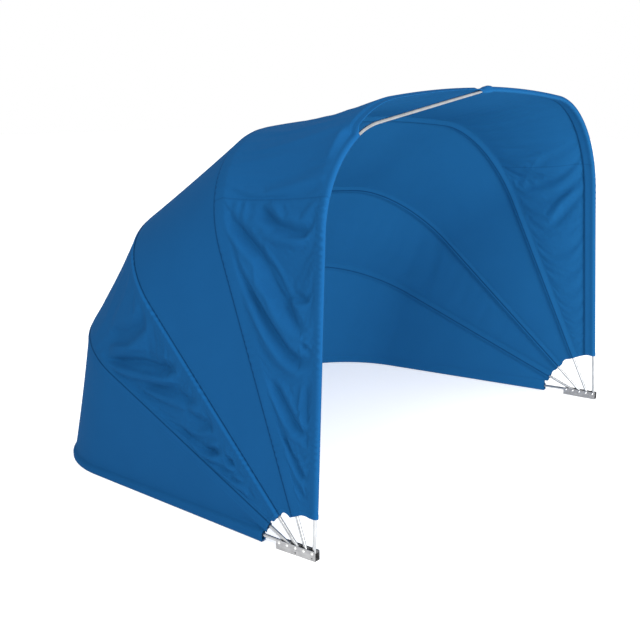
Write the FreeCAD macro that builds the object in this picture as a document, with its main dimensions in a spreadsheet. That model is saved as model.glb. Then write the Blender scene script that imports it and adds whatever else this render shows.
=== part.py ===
import FreeCAD, Part
import math
import os
import Sketcher
from FreeCAD import Placement, Rotation, Vector

# Folding canopy: five tube hoops fan out from five pivots in a row in each of two
# floor brackets, with cloth panels between them.
# Frame: X across, Y to the rear, Z up, on the floor under the middle of the open canopy.

QUARTER_TURN = 90
HALF_TURN = 180
FULL_TURN = 360
TOLERANCE = 0.01

doc = FreeCAD.newDocument("canopy")
sheet = doc.addObject("Spreadsheet::Sheet", "sizes")

SIZES = [
    # hoops
    ("half_span", 1050, "middle to the pivots' tube centres"),
    ("tube_diameter", 12, ""),
    ("tube_wall", 1, ""),
    ("leg_lean", 4.4, "degrees that a leg leans in"),
    ("leg_length", 945, "pivot to the start of the corner bend"),
    ("corner_radius", 424, "bend at the shoulder, tube centre"),
    ("crown_slope", 5.8, "degrees, crown at the end of the corner bend"),
    ("loose_corner_radius", 340, "bend of the front hoop's left half"),
    ("loose_crown_slope", 8.4, "degrees, its straight crown"),
    ("angle_front", 1.5, "degrees back from upright"),
    ("angle_second", 23.4, ""),
    ("angle_third", 46.9, ""),
    ("angle_fourth", 67.0, ""),
    # brackets and pivots
    ("pitch", 32, "between neighbouring pivots"),
    ("pivot_height", 24, ""),
    ("bracket_height", 32, ""),
    ("bracket_width", 24, ""),
    ("bracket_wall", 2, ""),
    ("bracket_end", 12, "last pivot to the bracket's end"),
    ("bracket_corner", 4, "rounding of the walls' top corners"),
    ("bend_radius", 3, "outside of the channel's bends"),
    ("pin_diameter", 6, ""),
    ("pin_clearance", 0.05, "radial, pin in tube, washer and bracket"),
    ("head_diameter", 10, "rivet head"),
    ("head_height", 2.4, ""),
    ("washer_diameter", 12, ""),
    ("washer_thickness", 3, ""),
    ("side_clearance", 0.1, "washer to the bracket's wall"),
    ("fixing_diameter", 5, "hole for a fixing screw"),
    ("fixing_height", 9, ""),
    # joints in the crown
    ("tube_gap", 1, "middle of the crown to the end of each tube"),
    ("end_allowance", 2, "tube left beyond the rounded end before it is cut"),
    ("coupler_length", 60, ""),
    ("coupler_bend", 5, "middle of the coupler to the end of its bend"),
    ("coupler_wall", 1.3, ""),
    ("coupler_clearance", 0.1, "radial, over the tubes"),
    ("spigot_length", 80, ""),
    ("spigot_clearance", 0.15, "radial, inside the tubes"),
    ("spigot_wall", 1.5, ""),
    # cloth
    ("cloth", 1.5, "thickness of the closed cloth solids"),
    ("bare_leg", 100, "pivot to the lower edge of the cloth"),
    ("sleeve_clearance", 0.1, "radial, over the tubes"),
    ("sleeve_wall", 1.5, ""),
    ("panel_gap", 0.6, "between a sleeve and the panel that passes over it"),
    ("plane_gap", 0.4, "panel's edge to the plane of its hoop"),
    ("seam_height", 1053, "shoulder seam above the pivots, at the front hoop"),
    ("seam_tilt", 5, "degrees that the shoulder seam falls to the rear"),
    ("bare_crown", 795, "middle to the end of the left front sleeve"),
]

for row, (alias, value, remark) in enumerate(SIZES, start=1):
    sheet.set(f"A{row}", alias)
    sheet.set(f"B{row}", str(value))
    sheet.set(f"C{row}", remark)
    sheet.setAlias(f"B{row}", alias)
doc.recompute()


class Size:
    """A length or an angle in degrees: its value, and the expression that gives it."""

    def __init__(self, text, value):
        self.text = text
        self.value = value

    def join(self, sign, other, value):
        other = as_size(other)
        return Size(f"({self.text} {sign} {other.text})", value(self.value, other.value))

    def __add__(self, other):
        return self.join("+", other, lambda a, b: a + b)

    def __sub__(self, other):
        return self.join("-", other, lambda a, b: a - b)

    def __rsub__(self, other):
        return as_size(other) - self

    def __mul__(self, other):
        return self.join("*", other, lambda a, b: a * b)

    def __truediv__(self, other):
        return self.join("/", other, lambda a, b: a / b)

    def __neg__(self):
        return self * -1


def as_size(thing):
    return thing if isinstance(thing, Size) else Size(f"({thing})", float(thing))


def sine(angle):
    return Size(f"sin({angle.text} * 1 deg)", math.sin(math.radians(angle.value)))


def cosine(angle):
    return Size(f"cos({angle.text} * 1 deg)", math.cos(math.radians(angle.value)))


size = {alias: Size(f"sizes.{alias}", float(sheet.get(alias))) for alias, value, remark in SIZES}

tube_radius = size["tube_diameter"] / 2
pin_radius = size["pin_diameter"] / 2
hole_radius = pin_radius + size["pin_clearance"]
sleeve_bore = tube_radius + size["sleeve_clearance"]
sleeve_radius = sleeve_bore + size["sleeve_wall"]
panel_inside = sleeve_radius + size["panel_gap"]
panel_outside = panel_inside + size["cloth"]

# The corner bend's end and the crown's radius follow from the leg, the bend and the slope.
bend_centre_x = (size["half_span"] - size["leg_length"] * sine(size["leg_lean"])
                 - size["corner_radius"] * cosine(size["leg_lean"]))
bend_end_x = bend_centre_x + size["corner_radius"] * sine(size["crown_slope"])
crown_radius = bend_end_x / sine(size["crown_slope"])
bend_centre_z = (size["leg_length"] * cosine(size["leg_lean"])
                 - size["corner_radius"] * sine(size["leg_lean"]))
crown_centre_z = (bend_centre_z
                  - (crown_radius - size["corner_radius"]) * cosine(size["crown_slope"]))
crown_height = crown_centre_z + crown_radius

# The rear hoop lies back until its sleeve rests on the floor.
drop_sine = (size["pivot_height"] - sleeve_radius) / crown_height
angle_rear = Size(f"({QUARTER_TURN} + asin({drop_sine.text}) / 1 deg)",
                  QUARTER_TURN + math.degrees(math.asin(drop_sine.value)))

HOOPS = ["front", "second", "third", "fourth", "rear"]
pivot_steps = len(HOOPS) - 1
half_row = size["pitch"] * pivot_steps / 2

# The origin lies under the middle of the open canopy's length.
rear_reach = half_row + (crown_height + panel_outside) * sine(angle_rear)
front_reach = half_row + size["bracket_end"]
pivot_row_y = (front_reach - rear_reach) / 2

hoop_angle = {
    "front": size["angle_front"],
    "second": size["angle_second"],
    "third": size["angle_third"],
    "fourth": size["angle_fourth"],
    "rear": angle_rear,
}
hoop_row = {name: size["pitch"] * index - half_row for index, name in enumerate(HOOPS)}
hoop_y = {name: pivot_row_y + hoop_row[name] for name in HOOPS}
SIDES = {"left": -1, "right": 1}


def number(value):
    return value.value if isinstance(value, Size) else float(value)


def bind(target, path, value):
    target.setExpression(path, as_size(value).text)


def new_body(label):
    part_body = doc.addObject("PartDesign::Body", label)
    part_body.Label = label
    return part_body


def origin_plane(part_body, role):
    return next(item for item in part_body.Origin.OriginFeatures if item.Role == role)


def new_sketch(part_body, name, role, base=(0, 0, 0), axis=None, angle=0):
    """A sketch on one of the body's own planes, moved by base and turned about axis."""
    sketch = part_body.newObject("Sketcher::SketchObject", name)
    sketch.AttachmentSupport = [(origin_plane(part_body, role), "")]
    sketch.MapMode = "FlatFace"
    turn = Rotation(Vector(*axis), number(angle)) if axis else Rotation()
    sketch.AttachmentOffset = Placement(Vector(*[number(value) for value in base]), turn)
    for letter, value in zip("xyz", base):
        if isinstance(value, Size):
            bind(sketch, f"AttachmentOffset.Base.{letter}", value)
    if isinstance(angle, Size):
        bind(sketch, "AttachmentOffset.Rotation.Angle", angle)
    return sketch


def dimension(sketch, kind, *places, value):
    index = sketch.addConstraint(Sketcher.Constraint(kind, *places, number(value)))
    bind(sketch, f"Constraints[{index}]", value)


def angle_dimension(sketch, edge, value):
    """The direction of an edge, in degrees from the sketch's X axis."""
    place = Sketcher.Constraint("Angle", edge, math.radians(value.value))
    index = sketch.addConstraint(place)
    sketch.setExpression(f"Constraints[{index}]", f"{value.text} * 1 deg")


def place_point(sketch, edge, end, x, y):
    """Hold one end of an edge at x, y."""
    for kind, value in (("DistanceX", x), ("DistanceY", y)):
        if abs(number(value)) < TOLERANCE:
            axis = -2 if kind == "DistanceX" else -1
            sketch.addConstraint(Sketcher.Constraint("PointOnObject", edge, end, axis))
        else:
            dimension(sketch, kind, -1, 1, edge, end, value=value)


def add_circle(sketch, x, y, radius):
    circle = Part.Circle(Vector(number(x), number(y), 0), Vector(0, 0, 1), number(radius))
    edge = sketch.addGeometry(circle)
    dimension(sketch, "Radius", edge, value=radius)
    place_point(sketch, edge, 3, x, y)


def add_lines(sketch, corners, closed=True):
    """Straight edges from corner to corner, with every corner held in its place."""
    points = [Vector(number(x), number(y), 0) for x, y in corners]
    stops = points[1:] + points[:1] if closed else points[1:]
    edges = [sketch.addGeometry(Part.LineSegment(start, stop))
             for start, stop in zip(points, stops)]
    for edge, (x, y) in zip(edges, corners):
        place_point(sketch, edge, 1, x, y)
    for edge, following in zip(edges, edges[1:]):
        sketch.addConstraint(Sketcher.Constraint("Coincident", edge, 2, following, 1))
    if closed:
        sketch.addConstraint(Sketcher.Constraint("Coincident", edges[-1], 2, edges[0], 1))
    else:
        place_point(sketch, edges[-1], 2, *corners[-1])
    return edges


def add_arc(sketch, centre, radius, start, end):
    """An arc about centre between two directions in degrees, anticlockwise."""
    circle = Part.Circle(Vector(centre[0], centre[1], 0), Vector(0, 0, 1), radius)
    arc = Part.ArcOfCircle(circle, math.radians(start), math.radians(end))
    return sketch.addGeometry(arc)


def add_hoop_line(sketch, side, offset, start, crown_end=0):
    """Half of a hoop's outline: leg, corner bend and arched crown.

    offset lies outwards from the tube's centre line, start is the distance along the leg,
    crown_end is where the crown stops, measured from the middle.
    Returns the leg, bend and crown edges.
    """
    lean = size["leg_lean"]
    foot_x = (size["half_span"] + offset * cosine(lean) - sine(lean) * start) * side
    foot_y = sine(lean) * offset + cosine(lean) * start
    top_x = (size["half_span"] + offset * cosine(lean) - sine(lean) * size["leg_length"]) * side
    top_y = sine(lean) * offset + cosine(lean) * size["leg_length"]
    leg = sketch.addGeometry(Part.LineSegment(
        Vector(foot_x.value, foot_y.value, 0), Vector(top_x.value, top_y.value, 0)))
    place_point(sketch, leg, 1, foot_x, foot_y)
    place_point(sketch, leg, 2, top_x, top_y)

    bend_radius = size["corner_radius"] + offset
    arch_radius = crown_radius + offset
    slope = size["crown_slope"].value
    stop = math.degrees(math.asin(number(crown_end) / arch_radius.value))
    bend_centre = (bend_centre_x.value * side, bend_centre_z.value)
    if side > 0:
        bend = add_arc(sketch, bend_centre, bend_radius.value, lean.value, QUARTER_TURN - slope)
        crown = add_arc(sketch, (0, crown_centre_z.value), arch_radius.value,
                        QUARTER_TURN - slope, QUARTER_TURN - stop)
        first, last = 1, 2
    else:
        bend = add_arc(sketch, bend_centre, bend_radius.value,
                       QUARTER_TURN + slope, HALF_TURN - lean.value)
        crown = add_arc(sketch, (0, crown_centre_z.value), arch_radius.value,
                        QUARTER_TURN + stop, QUARTER_TURN + slope)
        first, last = 2, 1
    sketch.addConstraint(Sketcher.Constraint("Tangent", leg, 2, bend, first))
    dimension(sketch, "Radius", bend, value=bend_radius)
    sketch.addConstraint(Sketcher.Constraint("Tangent", bend, last, crown, first))
    dimension(sketch, "Radius", crown, value=arch_radius)
    sketch.addConstraint(Sketcher.Constraint("PointOnObject", crown, 3, -2))
    if number(crown_end) == 0:
        sketch.addConstraint(Sketcher.Constraint("PointOnObject", crown, last, -2))
    else:
        dimension(sketch, "DistanceX", -1, 1, crown, last, value=as_size(crown_end) * side)
    return leg, bend, crown


def add_loose_line(sketch, start, crown_end=None, bend_stop=None):
    """The front hoop's left half: leg, tighter bend, straight crown.

    It ends in the crown at crown_end from the middle, or in the bend at bend_stop.
    """
    lean = size["leg_lean"]
    slope = size["loose_crown_slope"]
    foot_x = -(size["half_span"] - sine(lean) * start)
    foot_y = cosine(lean) * start
    # the lines of the leg and of the crown meet in a corner that the bend rounds off
    lean_run = math.tan(math.radians(lean.value))
    slope_rise = math.tan(math.radians(slope.value))
    corner_z = ((crown_height.value - slope_rise * size["half_span"].value)
                / (1 - slope_rise * lean_run))
    corner_x = -(size["half_span"].value - lean_run * corner_z)
    turn = math.radians(QUARTER_TURN - lean.value - slope.value)
    reach = size["loose_corner_radius"].value * math.tan(turn / 2)
    leg_way = Vector(math.sin(math.radians(lean.value)), math.cos(math.radians(lean.value)), 0)
    crown_way = Vector(math.cos(math.radians(slope.value)), math.sin(math.radians(slope.value)), 0)
    corner = Vector(corner_x, corner_z, 0)
    leg_top = corner - leg_way * reach
    bend_end = corner + crown_way * reach
    inward = Vector(leg_way.y, -leg_way.x, 0)
    centre = leg_top + inward * size["loose_corner_radius"].value
    leg = sketch.addGeometry(Part.LineSegment(Vector(foot_x.value, foot_y.value, 0), leg_top))
    place_point(sketch, leg, 1, foot_x, foot_y)
    angle_dimension(sketch, leg, QUARTER_TURN - lean)
    bend_from = QUARTER_TURN + slope.value
    if bend_stop is not None:
        bend_from = math.degrees(math.acos((-number(bend_stop) - centre.x)
                                           / size["loose_corner_radius"].value))
    bend = add_arc(sketch, (centre.x, centre.y), size["loose_corner_radius"].value,
                   bend_from, HALF_TURN - lean.value)
    sketch.addConstraint(Sketcher.Constraint("Tangent", leg, 2, bend, 2))
    dimension(sketch, "Radius", bend, value=size["loose_corner_radius"])
    if bend_stop is None:
        end_z = crown_height - sine(slope) / cosine(slope) * crown_end
        crown = sketch.addGeometry(Part.LineSegment(
            bend_end, Vector(-number(crown_end), end_z.value, 0)))
        sketch.addConstraint(Sketcher.Constraint("Tangent", bend, 1, crown, 1))
        place_point(sketch, crown, 2, -as_size(crown_end), end_z)
        angle_dimension(sketch, crown, slope)
        return
    dimension(sketch, "DistanceX", -1, 1, bend, 1, value=-as_size(bend_stop))
    # a construction line carries on along the crown and holds the bend
    crown = sketch.addGeometry(Part.LineSegment(
        bend_end, Vector(0, crown_height.value, 0)), True)
    place_point(sketch, crown, 2, 0, crown_height)
    angle_dimension(sketch, crown, slope)
    sketch.addConstraint(Sketcher.Constraint("Tangent", crown, 1, bend))


def leg_profile(part_body, side, start, radii):
    """Circles square to the leg, start along it."""
    lean = size["leg_lean"]
    base = ((size["half_span"] - sine(lean) * start) * side, 0, cosine(lean) * start)
    sketch = new_sketch(part_body, "section", "XY_Plane", base, (0, -side, 0), lean)
    for radius in radii:
        add_circle(sketch, 0, 0, radius)
    return sketch


def pipe_along(part_body, path, section):
    pipe = part_body.newObject("PartDesign::AdditivePipe", "pipe")
    pipe.Profile = section
    pipe.Spine = (path, [f"Edge{index + 1}" for index in range(edge_count(path))])
    return pipe


def edge_count(sketch):
    return sum(1 for index in range(sketch.GeometryCount) if not sketch.getConstruction(index))


def cut_through(part_body, sketch, name="cut"):
    pocket = part_body.newObject("PartDesign::Pocket", name)
    pocket.Profile = sketch
    pocket.SideType = "Symmetric"
    pocket.Type = "ThroughAll"
    return pocket


def mirror_across(part_body, features):
    mirror = part_body.newObject("PartDesign::Mirrored", "other_side")
    mirror.Originals = features
    mirror.MirrorPlane = (origin_plane(part_body, "YZ_Plane"), [""])
    part_body.Tip = mirror


def put_on_hoop(part_body, name):
    """Place a body that was drawn in its hoop's own plane, with the pivots' line as X."""
    angle = hoop_angle[name]
    part_body.Placement = Placement(
        Vector(0, hoop_y[name].value, size["pivot_height"].value),
        Rotation(Vector(-1, 0, 0), angle.value))
    bind(part_body, "Placement.Base.y", hoop_y[name])
    bind(part_body, "Placement.Base.z", size["pivot_height"])
    part_body.setExpression("Placement.Rotation.Angle", f"{angle.text} * 1 deg")


def near(value, other):
    return abs(value - number(other)) < TOLERANCE


def edges_where(feature, test):
    """Names of the feature's edges whose bounding box passes the test."""
    return [f"Edge{index}" for index, edge in enumerate(feature.Shape.Edges, start=1)
            if test(edge.BoundBox)]


def add_fillet(part_body, name, base, edges, radius):
    fillet = part_body.newObject("PartDesign::Fillet", name)
    fillet.Base = (base, edges)
    bind(fillet, "Radius", radius)
    doc.recompute()
    return fillet


def repeat_along_pivots(part_body, features):
    """Repeat the features of the foremost pivot at the other four."""
    pattern = part_body.newObject("PartDesign::LinearPattern", "at_each_pivot")
    pattern.Originals = features
    pattern.Direction = (origin_plane(part_body, "Y_Axis"), [""])
    pattern.Occurrences = len(HOOPS)
    bind(pattern, "Length", half_row * 2)
    part_body.Tip = pattern
    doc.recompute()


def put_on_bracket(part_body, side):
    part_body.Placement = Placement(
        Vector(side * size["half_span"].value, pivot_row_y.value, 0), Rotation())
    bind(part_body, "Placement.Base.x", size["half_span"] * side)
    bind(part_body, "Placement.Base.y", pivot_row_y)


# ---- brackets, rivets and washers

def make_bracket(label, side):
    """A channel bent from sheet, with the pivot holes in both walls."""
    channel = new_body(label)
    profile = new_sketch(channel, "section", "XZ_Plane")
    half = size["bracket_width"] / 2
    wall = size["bracket_wall"]
    top = size["bracket_height"]
    corners = [(-half, 0), (half, 0), (half, top), (half - wall, top), (half - wall, wall),
               (wall - half, wall), (wall - half, top), (-half, top)]
    add_lines(profile, corners)
    pad = channel.newObject("PartDesign::Pad", "channel")
    pad.Profile = profile
    pad.SideType = "Symmetric"
    bind(pad, "Length", (half_row + size["bracket_end"]) * 2)
    doc.recompute()

    along = {"outer_bends": (half, as_size(0), size["bend_radius"]),
             "inner_bends": (half - wall, wall, size["bend_radius"] - wall)}
    base = pad
    for name, (x, z, radius) in along.items():
        bends = edges_where(base, lambda box: not near(box.YLength, 0) and near(abs(box.XMin), x)
                            and near(box.ZMin, z) and near(box.ZLength, 0))
        base = add_fillet(channel, name, base, bends, radius)
    wall_corners = edges_where(base, lambda box: near(box.YLength, 0) and near(box.ZMin, top)
                               and near(box.XLength, wall))
    add_fillet(channel, "wall_corners", base, wall_corners, size["bracket_corner"])

    hole_sketch = new_sketch(channel, "pivot_hole", "YZ_Plane")
    add_circle(hole_sketch, -half_row, size["pivot_height"], hole_radius)
    hole = cut_through(channel, hole_sketch, "pivot_hole_cut")
    doc.recompute()
    repeat_along_pivots(channel, [hole])

    # two fixing holes in the wall that faces the canopy's inside
    fixing_sketch = new_sketch(channel, "fixing_holes", "YZ_Plane")
    for y in (-half_row, as_size(0)):
        add_circle(fixing_sketch, y, size["fixing_height"], size["fixing_diameter"] / 2)
    fixing = channel.newObject("PartDesign::Pocket", "fixing_cut")
    fixing.Profile = fixing_sketch
    fixing.Type = "Length"
    fixing.Reversed = side > 0
    bind(fixing, "Length", size["bracket_width"])
    channel.Tip = fixing
    put_on_bracket(channel, side)


def make_rivets(label, side):
    """Five rivets across the channel, with a domed head outside each wall."""
    rivets = new_body(label)
    rivets.AllowCompound = True
    profile = new_sketch(rivets, "section", "XZ_Plane",
                         (0, size["pivot_height"], half_row))
    half = size["bracket_width"] / 2
    head = size["head_diameter"] / 2
    tip = half + size["head_height"]
    dome = (head * head + size["head_height"] * size["head_height"]) / (size["head_height"] * 2)
    slope = math.degrees(math.asin(head.value / dome.value))
    left_dome = add_arc(profile, (dome.value - tip.value, 0), dome.value,
                        HALF_TURN - slope, HALF_TURN)
    right_dome = add_arc(profile, (tip.value - dome.value, 0), dome.value, 0, slope)
    shank = add_lines(profile, [(-half, head), (-half, pin_radius), (half, pin_radius),
                                (half, head)], closed=False)
    axis, = add_lines(profile, [(tip, 0), (-tip, 0)], closed=False)
    joins = [(left_dome, 1, shank[0], 1), (shank[-1], 2, right_dome, 2),
             (right_dome, 1, axis, 1), (axis, 2, left_dome, 2)]
    for join in joins:
        profile.addConstraint(Sketcher.Constraint("Coincident", *join))
    for dome_edge in (left_dome, right_dome):
        profile.addConstraint(Sketcher.Constraint("PointOnObject", dome_edge, 3, -1))
    rivet = rivets.newObject("PartDesign::Revolution", "rivet")
    rivet.Profile = profile
    rivet.ReferenceAxis = (profile, ["H_Axis"])
    rivet.Angle = FULL_TURN
    doc.recompute()
    repeat_along_pivots(rivets, [rivet])
    put_on_bracket(rivets, side)


def make_washers(label, side):
    """A washer on each side of every tube end."""
    washers = new_body(label)
    washers.AllowCompound = True
    outside = size["bracket_width"] / 2 - size["bracket_wall"] - size["side_clearance"]
    rings = []
    for name, face in (("outer", outside - size["washer_thickness"]), ("inner", -outside)):
        sketch = new_sketch(washers, name + "_section", "YZ_Plane",
                            (-half_row, size["pivot_height"], face))
        add_circle(sketch, 0, 0, size["washer_diameter"] / 2)
        add_circle(sketch, 0, 0, hole_radius)
        ring = washers.newObject("PartDesign::Pad", name + "_washer")
        ring.Profile = sketch
        bind(ring, "Length", size["washer_thickness"])
        rings.append(ring)
    doc.recompute()
    repeat_along_pivots(washers, rings)
    put_on_bracket(washers, side)


# ---- hoops

def make_tube(hoop, end):
    """Half a hoop: a bent tube with a rounded, drilled end at its pivot."""
    side = SIDES[end]
    tube = new_body(f"{hoop}_{end}_tube")
    start = -(tube_radius + size["end_allowance"])
    path = new_sketch(tube, "path", "XZ_Plane")
    gap = size["tube_gap"]
    if hoop == "front":
        gap = size["coupler_bend"] + size["tube_gap"]
    if (hoop, end) == ("front", "left"):
        add_loose_line(path, start, crown_end=gap)
    else:
        add_hoop_line(path, side, as_size(0), start, crown_end=gap)
    section = leg_profile(tube, side, start, (tube_radius, tube_radius - size["tube_wall"]))
    pipe_along(tube, path, section)
    doc.recompute()

    # what lies outside a half circle round the pivot is cut off the end
    trim = new_sketch(tube, "end_shape", "YZ_Plane")
    wide = tube_radius + size["end_allowance"]
    deep = wide + size["end_allowance"]
    lines = add_lines(trim, [(-tube_radius, 0), (-wide, 0), (-wide, -deep), (wide, -deep),
                             (wide, 0), (tube_radius, 0)], closed=False)
    arc = add_arc(trim, (0, 0), tube_radius.value, HALF_TURN, FULL_TURN)
    trim.addConstraint(Sketcher.Constraint("Coincident", arc, 1, lines[0], 1))
    trim.addConstraint(Sketcher.Constraint("Coincident", arc, 2, lines[-1], 2))
    trim.addConstraint(Sketcher.Constraint("PointOnObject", arc, 3, -1))
    cut_through(tube, trim, "rounded_end")

    hole = new_sketch(tube, "pivot_hole", "YZ_Plane")
    add_circle(hole, 0, 0, hole_radius)
    tube.Tip = cut_through(tube, hole, "pivot_hole_cut")
    put_on_hoop(tube, hoop)


def make_spigot(hoop):
    """A short tube inside the two halves, where they meet in the crown."""
    spigot = new_body(f"{hoop}_spigot")
    outside = tube_radius - size["tube_wall"] - size["spigot_clearance"]
    section = new_sketch(spigot, "section", "YZ_Plane")
    add_circle(section, 0, crown_height, outside)
    add_circle(section, 0, crown_height, outside - size["spigot_wall"])
    pad = spigot.newObject("PartDesign::Pad", "spigot")
    pad.Profile = section
    pad.SideType = "Symmetric"
    bind(pad, "Length", size["spigot_length"])
    put_on_hoop(spigot, hoop)


def make_coupler():
    """A bent sleeve over the ends of the front hoop's two halves."""
    coupler = new_body("front_coupler")
    slope = size["loose_crown_slope"]
    half = size["coupler_length"] / 2
    bend = size["coupler_bend"]
    path = new_sketch(coupler, "path", "XZ_Plane")
    turn = math.radians(slope.value)
    radius = bend.value / math.tan(turn / 2)
    apex = crown_height.value
    right = path.addGeometry(Part.LineSegment(
        Vector(half.value, apex, 0), Vector(bend.value, apex, 0)))
    left_way = Vector(-math.cos(turn), -math.sin(turn), 0)
    middle = Vector(0, apex, 0)
    arc = add_arc(path, (bend.value, apex - radius), radius, QUARTER_TURN,
                  QUARTER_TURN + slope.value)
    left = path.addGeometry(Part.LineSegment(
        middle + left_way * bend.value, middle + left_way * half.value))
    place_point(path, right, 1, half, crown_height)
    place_point(path, right, 2, bend, crown_height)
    path.addConstraint(Sketcher.Constraint("Tangent", right, 2, arc, 1))
    path.addConstraint(Sketcher.Constraint("Tangent", arc, 2, left, 1))
    place_point(path, left, 1, -(cosine(slope) * bend), crown_height - sine(slope) * bend)
    dimension(path, "Distance", left, value=half - bend)
    section = new_sketch(coupler, "section", "YZ_Plane", (0, 0, half))
    bore = tube_radius + size["coupler_clearance"]
    add_circle(section, 0, crown_height, bore)
    add_circle(section, 0, crown_height, bore + size["coupler_wall"])
    pipe_along(coupler, path, section)
    put_on_hoop(coupler, "front")


def make_sleeve(hoop):
    """The cloth tube sewn along a whole hoop."""
    sleeve = new_body(f"{hoop}_sleeve")
    path = new_sketch(sleeve, "path", "XZ_Plane")
    add_hoop_line(path, 1, as_size(0), size["bare_leg"])
    section = leg_profile(sleeve, 1, size["bare_leg"], (sleeve_radius, sleeve_bore))
    pipe = pipe_along(sleeve, path, section)
    doc.recompute()
    mirror_across(sleeve, [pipe])
    put_on_hoop(sleeve, hoop)


def make_front_sleeve(end):
    """The front hoop's sleeve: it leaves the left half of the crown bare."""
    sleeve = new_body(f"front_{end}_sleeve")
    path = new_sketch(sleeve, "path", "XZ_Plane")
    if end == "left":
        add_loose_line(path, size["bare_leg"], bend_stop=size["bare_crown"])
    else:
        clear_of_coupler = size["coupler_length"] / 2 + size["tube_gap"]
        add_hoop_line(path, 1, as_size(0), size["bare_leg"], crown_end=clear_of_coupler)
    section = leg_profile(sleeve, SIDES[end], size["bare_leg"], (sleeve_radius, sleeve_bore))
    pipe_along(sleeve, path, section)
    put_on_hoop(sleeve, "front")


# ---- panels

def panel_section(part_body, name, hoop, side, shift):
    """Half a band outside a hoop's sleeve, in the hoop's plane or shift behind it."""
    angle = hoop_angle[hoop]
    base = (0, -(sine(angle) * shift), -hoop_row[hoop] - cosine(angle) * shift)
    sketch = new_sketch(part_body, name, "XZ_Plane", base, (-1, 0, 0), angle)
    inner = add_hoop_line(sketch, side, panel_inside, size["bare_leg"])
    outer = add_hoop_line(sketch, side, panel_outside, size["bare_leg"])
    last = 2 if side > 0 else 1
    for first_edge, second_edge, end in ((inner[0], outer[0], 1), (inner[2], outer[2], last)):
        start = sketch.getPoint(first_edge, end)
        stop = sketch.getPoint(second_edge, end)
        edge = sketch.addGeometry(Part.LineSegment(start, stop))
        sketch.addConstraint(Sketcher.Constraint("Coincident", edge, 1, first_edge, end))
        sketch.addConstraint(Sketcher.Constraint("Coincident", edge, 2, second_edge, end))
    return sketch


def half_panel(part_body, front_hoop, rear_hoop, side):
    front = panel_section(part_body, "front_edge", front_hoop, side, size["plane_gap"])
    rear = panel_section(part_body, "rear_edge", rear_hoop, side, -size["plane_gap"])
    loft = part_body.newObject("PartDesign::AdditiveLoft", "cloth")
    loft.Profile = front
    loft.Sections = [rear]
    loft.Ruled = True
    doc.recompute()
    return loft


def place_panel(part_body):
    part_body.Placement = Placement(
        Vector(0, pivot_row_y.value, size["pivot_height"].value), Rotation())
    bind(part_body, "Placement.Base.y", pivot_row_y)
    bind(part_body, "Placement.Base.z", size["pivot_height"])


def cut_at_seam(part_body, above):
    """Cut away the cloth above or below the shoulder seam, which falls to the rear."""
    angle = hoop_angle["front"]
    base = (sine(angle) * size["seam_height"] - half_row,
            cosine(angle) * size["seam_height"], 0)
    sketch = new_sketch(part_body, "seam", "YZ_Plane", base, (0, 0, -1), size["seam_tilt"])
    far = crown_height if above else -crown_height
    add_lines(sketch, [(-crown_height, 0), (crown_height, 0), (crown_height, far),
                       (-crown_height, far)])
    part_body.Tip = cut_through(part_body, sketch, "seam_cut")


def make_panel(label, front_hoop, rear_hoop):
    panel = new_body(label)
    loft = half_panel(panel, front_hoop, rear_hoop, 1)
    mirror_across(panel, [loft])
    place_panel(panel)
    return panel


def make_gusset(end):
    gusset = new_body(f"front_{end}_gusset")
    half_panel(gusset, "front", "second", SIDES[end])
    cut_at_seam(gusset, above=True)
    place_panel(gusset)


for end, side in SIDES.items():
    make_bracket(f"{end}_bracket", side)
    make_rivets(f"{end}_pivot_rivets", side)
    make_washers(f"{end}_washers", side)

for hoop in HOOPS:
    for end in SIDES:
        make_tube(hoop, end)
    if hoop != "front":
        make_spigot(hoop)
        make_sleeve(hoop)
make_coupler()
for end in SIDES:
    make_front_sleeve(end)
    make_gusset(end)

roof = make_panel("front_roof", "front", "second")
cut_at_seam(roof, above=False)
for front_hoop, rear_hoop in zip(HOOPS[1:], HOOPS[2:]):
    make_panel(f"{front_hoop}_panel", front_hoop, rear_hoop)

doc.recompute()

# ---- check and write

sub_parts = [item for item in doc.Objects if item.isDerivedFrom("PartDesign::Body")]
failed = [item.FullName for item in doc.Objects
          if "Invalid" in item.State or "Error" in item.State]
if failed:
    raise RuntimeError(f"not built: {failed}")
for sub_part in sub_parts:
    if sub_part.Shape.isNull() or not sub_part.Shape.isValid():
        raise RuntimeError(f"{sub_part.Label} has no valid shape")

os.makedirs("parts", exist_ok=True)
for sub_part in sub_parts:
    sub_part.Shape.exportStep(f"parts/{sub_part.Label}.step")
    print(f"{sub_part.Label}: {len(sub_part.Shape.Solids)} solids, {sub_part.Shape.Volume:.0f} mm3")
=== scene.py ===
import math

import bpy
import numpy as np
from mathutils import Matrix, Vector


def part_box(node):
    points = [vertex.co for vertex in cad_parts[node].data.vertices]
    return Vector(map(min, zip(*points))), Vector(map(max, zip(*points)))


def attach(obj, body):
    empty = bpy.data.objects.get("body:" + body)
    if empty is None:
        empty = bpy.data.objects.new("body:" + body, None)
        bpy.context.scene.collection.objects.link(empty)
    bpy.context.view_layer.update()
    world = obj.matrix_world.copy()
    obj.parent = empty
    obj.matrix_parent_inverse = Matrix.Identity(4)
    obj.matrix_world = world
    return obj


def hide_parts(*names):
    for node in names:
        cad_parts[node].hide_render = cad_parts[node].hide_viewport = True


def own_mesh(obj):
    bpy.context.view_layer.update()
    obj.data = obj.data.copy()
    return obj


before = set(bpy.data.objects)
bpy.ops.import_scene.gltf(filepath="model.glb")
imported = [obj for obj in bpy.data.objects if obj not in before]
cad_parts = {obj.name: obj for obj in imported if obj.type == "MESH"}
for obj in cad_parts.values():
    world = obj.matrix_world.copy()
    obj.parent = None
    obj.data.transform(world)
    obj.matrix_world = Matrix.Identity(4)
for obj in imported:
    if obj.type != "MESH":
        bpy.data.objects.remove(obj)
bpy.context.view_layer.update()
scene = bpy.context.scene


# camera and light

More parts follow.
